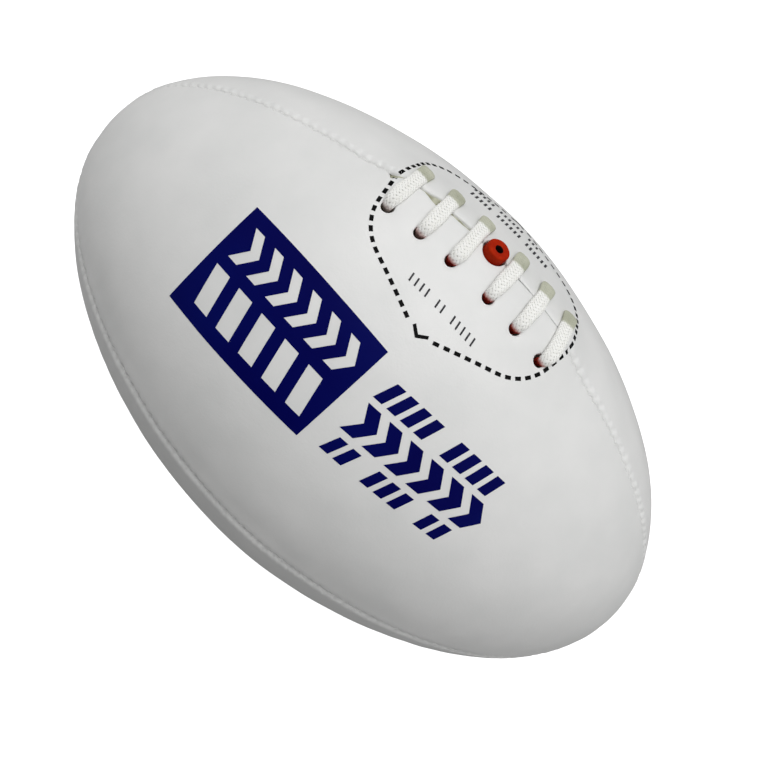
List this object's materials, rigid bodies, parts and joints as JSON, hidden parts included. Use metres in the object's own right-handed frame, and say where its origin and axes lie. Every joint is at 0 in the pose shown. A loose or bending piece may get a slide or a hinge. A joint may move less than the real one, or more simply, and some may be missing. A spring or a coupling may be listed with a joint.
{
  "type": "rugby ball",
  "caption": "Laced four-panel oval ball with a lining, seam threads, an inflatable bladder, and a rubber needle valve between the bars of lace.",
  "frame": {"origin": "middle of the ball, on its long axis", "axes": "+X along the long axis, +Z out through the lacing and the valve, -Y towards the front printed panel"},
  "size_m": [0.286, 0.1778, 0.1834],
  "materials": {
    "panel": "smooth white synthetic leather with a fine grain",
    "print_navy": "navy printing ink",
    "print_black": "black printing ink",
    "lining": "laminated woven cotton and polyester",
    "thread": "waxed thread",
    "lace": "flat braided cord",
    "tongue": "split leather",
    "bladder": "latex rubber",
    "valve": "moulded rubber",
    "core": "soft self-sealing rubber"
  },
  "bodies": {
    "ball": {"panel_front_top": "panel", "panel_front_bottom": "panel", "panel_back_bottom": "panel", "panel_back_top": "panel", "lining_front_top": "lining", "lining_front_bottom": "lining", "lining_back_bottom": "lining", "lining_back_top": "lining", "seam_thread_top": "thread", "seam_thread_front": "thread", "seam_thread_bottom": "thread", "seam_thread_back": "thread", "lace_strip_front": "lining", "lace_strip_back": "lining", "tongue": "tongue", "lace": "lace", "bladder": "bladder", "valve_patch": "bladder"},
    "valve": {"valve_stem": "valve", "valve_core": "core"}
  },
  "joints": [
    {"name": "valve_press", "type": "slide", "parent": "ball", "child": "valve", "axis": [0, 0, -1], "range_m": [0, 0.004], "stiffness_N_per_m": 600}
  ]
}
